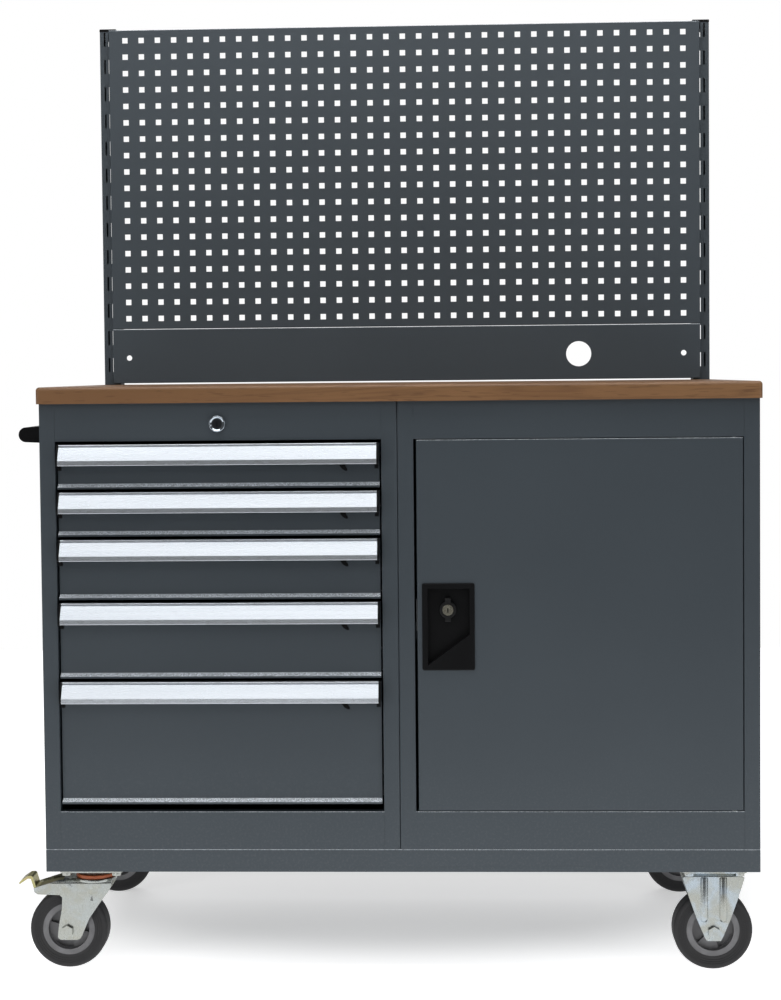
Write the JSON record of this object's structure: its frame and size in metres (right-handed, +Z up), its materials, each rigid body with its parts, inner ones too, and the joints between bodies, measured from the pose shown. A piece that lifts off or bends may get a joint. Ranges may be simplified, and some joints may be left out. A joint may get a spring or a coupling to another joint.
{
  "type": "workbench",
  "caption": "Mobile workbench on casters: sheet steel drawer and door cabinets under a wooden worktop, with a push handle and a perforated tool wall.",
  "frame": {"origin": "on the floor, in the middle of the footprint's bounding box", "axes": "+X to the right seen from the front, +Y to the back, +Z up"},
  "size_m": [1.183, 0.6318, 1.5897],
  "materials": {
    "anthracite_paint": "fine textured powder coat, satin",
    "wood_board": "lacquered beech multiplex, satin",
    "grip_aluminium": "clear anodised, fine lengthwise brushing",
    "black_plastic": "fine grained, matt",
    "zinc_steel": "bright zinc plated",
    "galvanised_steel": "zinc plated sheet, satin",
    "chrome_lock": "polished",
    "tyre_rubber": "matt solid rubber",
    "hub_plastic": "moulded, matt grey",
    "seal_plastic": "moulded, orange brown",
    "pedal_steel": "yellow passivated zinc"
  },
  "bodies": {
    "bench": {"base_frame": "anthracite_paint", "drawer_cabinet_shell": "anthracite_paint", "door_cabinet_shell": "anthracite_paint", "worktop": "wood_board", "left_upright": "anthracite_paint", "right_upright": "anthracite_paint", "upright_caps": "black_plastic", "perforated_panel": "anthracite_paint", "lower_panel": "anthracite_paint", "shelf": "anthracite_paint", "slide_rails": "galvanised_steel", "push_handle": "black_plastic", "hex_bolts": "zinc_steel", "pan_head_screws": "zinc_steel", "drawer_lock_housing": "chrome_lock", "door_hinge_pins": "zinc_steel", "swivel_plates": "zinc_steel", "swivel_seals": "seal_plastic", "fixed_forks": "zinc_steel", "fixed_axles": "zinc_steel"},
    "drawer_1_body": {"drawer_1": "anthracite_paint", "drawer_1_handle": "grip_aluminium", "drawer_1_handle_caps": "black_plastic"},
    "drawer_1_catch": {"drawer_1_latch": "black_plastic"},
    "drawer_2_body": {"drawer_2": "anthracite_paint", "drawer_2_handle": "grip_aluminium", "drawer_2_handle_caps": "black_plastic"},
    "drawer_2_catch": {"drawer_2_latch": "black_plastic"},
    "drawer_3_body": {"drawer_3": "anthracite_paint", "drawer_3_handle": "grip_aluminium", "drawer_3_handle_caps": "black_plastic"},
    "drawer_3_catch": {"drawer_3_latch": "black_plastic"},
    "drawer_4_body": {"drawer_4": "anthracite_paint", "drawer_4_handle": "grip_aluminium", "drawer_4_handle_caps": "black_plastic"},
    "drawer_4_catch": {"drawer_4_latch": "black_plastic"},
    "drawer_5_body": {"drawer_5": "anthracite_paint", "drawer_5_handle": "grip_aluminium", "drawer_5_handle_caps": "black_plastic"},
    "drawer_5_catch": {"drawer_5_latch": "black_plastic"},
    "lock_cylinder": {"drawer_lock_cylinder": "chrome_lock"},
    "lock_bar": {"drawer_lock_bar": "galvanised_steel"},
    "door_leaf": {"door": "anthracite_paint", "door_lock_housing": "black_plastic"},
    "door_knob": {"door_lock_knob": "black_plastic"},
    "door_bolt": {"door_lock_bolt": "galvanised_steel"},
    "front_left_swivel": {"front_left_fork": "zinc_steel", "front_left_axle": "zinc_steel"},
    "front_left_pedal": {"front_left_brake_pedal": "pedal_steel"},
    "front_left_wheel": {"front_left_tyre": "tyre_rubber", "front_left_hub": "hub_plastic"},
    "rear_left_swivel": {"rear_left_fork": "zinc_steel", "rear_left_axle": "zinc_steel"},
    "rear_left_pedal": {"rear_left_brake_pedal": "pedal_steel"},
    "rear_left_wheel": {"rear_left_tyre": "tyre_rubber", "rear_left_hub": "hub_plastic"},
    "front_right_wheel": {"front_right_tyre": "tyre_rubber", "front_right_hub": "hub_plastic"},
    "rear_right_wheel": {"rear_right_tyre": "tyre_rubber", "rear_right_hub": "hub_plastic"}
  },
  "joints": [
    {"name": "drawer_1_slide", "type": "slide", "parent": "bench", "child": "drawer_1_body", "axis": [0, -1, 0], "range_m": [0, 0.4]},
    {"name": "drawer_1_catch_slide", "type": "slide", "parent": "drawer_1_body", "child": "drawer_1_catch", "axis": [-1, 0, 0], "range_m": [0, 0.006], "stiffness_N_per_m": 250},
    {"name": "drawer_2_slide", "type": "slide", "parent": "bench", "child": "drawer_2_body", "axis": [0, -1, 0], "range_m": [0, 0.4]},
    {"name": "drawer_2_catch_slide", "type": "slide", "parent": "drawer_2_body", "child": "drawer_2_catch", "axis": [-1, 0, 0], "range_m": [0, 0.006], "stiffness_N_per_m": 250},
    {"name": "drawer_3_slide", "type": "slide", "parent": "bench", "child": "drawer_3_body", "axis": [0, -1, 0], "range_m": [0, 0.4]},
    {"name": "drawer_3_catch_slide", "type": "slide", "parent": "drawer_3_body", "child": "drawer_3_catch", "axis": [-1, 0, 0], "range_m": [0, 0.006], "stiffness_N_per_m": 250},
    {"name": "drawer_4_slide", "type": "slide", "parent": "bench", "child": "drawer_4_body", "axis": [0, -1, 0], "range_m": [0, 0.4]},
    {"name": "drawer_4_catch_slide", "type": "slide", "parent": "drawer_4_body", "child": "drawer_4_catch", "axis": [-1, 0, 0], "range_m": [0, 0.006], "stiffness_N_per_m": 250},
    {"name": "drawer_5_slide", "type": "slide", "parent": "bench", "child": "drawer_5_body", "axis": [0, -1, 0], "range_m": [0, 0.4]},
    {"name": "drawer_5_catch_slide", "type": "slide", "parent": "drawer_5_body", "child": "drawer_5_catch", "axis": [-1, 0, 0], "range_m": [0, 0.006], "stiffness_N_per_m": 250},
    {"name": "drawer_lock_turn", "type": "hinge", "parent": "bench", "child": "lock_cylinder", "pos_m": [-0.2575, -0.2961, 0.8742], "axis": [0, 1, 0], "range_deg": [0, 90.5]},
    {"name": "lock_bar_drop", "type": "slide", "parent": "bench", "child": "lock_bar", "axis": [0, 0, -1], "range_m": [0, 0.008]},
    {"name": "door_hinge", "type": "hinge", "parent": "bench", "child": "door_leaf", "pos_m": [0.5483, -0.2911, 0.5504], "axis": [0, 0, 1], "range_deg": [0, 110]},
    {"name": "door_knob_turn", "type": "hinge", "parent": "door_leaf", "child": "door_knob", "pos_m": [0.102, -0.2881, 0.5791], "axis": [0, -1, 0], "range_deg": [0, 90.5]},
    {"name": "door_bolt_slide", "type": "slide", "parent": "door_leaf", "child": "door_bolt", "axis": [-1, 0, 0], "range_m": [0, 0.009]},
    {"name": "front_left_swivel_turn", "type": "hinge", "parent": "bench", "child": "front_left_swivel", "pos_m": [-0.4695, -0.2441, 0.15], "axis": [0, 0, 1], "continuous": true},
    {"name": "front_left_pedal_tilt", "type": "hinge", "parent": "front_left_swivel", "child": "front_left_pedal", "pos_m": [-0.5075, -0.2441, 0.134], "axis": [0, -1, 0], "range_deg": [0, 10]},
    {"name": "front_left_wheel_roll", "type": "hinge", "parent": "front_left_swivel", "child": "front_left_wheel", "pos_m": [-0.5115, -0.2441, 0.0625], "axis": [0, 1, 0], "continuous": true},
    {"name": "rear_left_swivel_turn", "type": "hinge", "parent": "bench", "child": "rear_left_swivel", "pos_m": [-0.4695, 0.2239, 0.15], "axis": [0, 0, 1], "continuous": true},
    {"name": "rear_left_pedal_tilt", "type": "hinge", "parent": "rear_left_swivel", "child": "rear_left_pedal", "pos_m": [-0.5075, 0.2239, 0.134], "axis": [0, -1, 0], "range_deg": [0, 10]},
    {"name": "rear_left_wheel_roll", "type": "hinge", "parent": "rear_left_swivel", "child": "rear_left_wheel", "pos_m": [-0.5115, 0.2239, 0.0625], "axis": [0, 1, 0], "continuous": true},
    {"name": "front_right_wheel_roll", "type": "hinge", "parent": "bench", "child": "front_right_wheel", "pos_m": [0.5185, -0.2441, 0.0625], "axis": [0, 1, 0], "continuous": true},
    {"name": "rear_right_wheel_roll", "type": "hinge", "parent": "bench", "child": "rear_right_wheel", "pos_m": [0.5185, 0.2239, 0.0625], "axis": [0, 1, 0], "continuous": true}
  ],
  "couplings": [
    {"joint": "drawer_lock_turn", "follows": "lock_bar_drop", "rad_per_m": 196.35},
    {"joint": "door_knob_turn", "follows": "door_bolt_slide", "rad_per_m": 174.53}
  ]
}
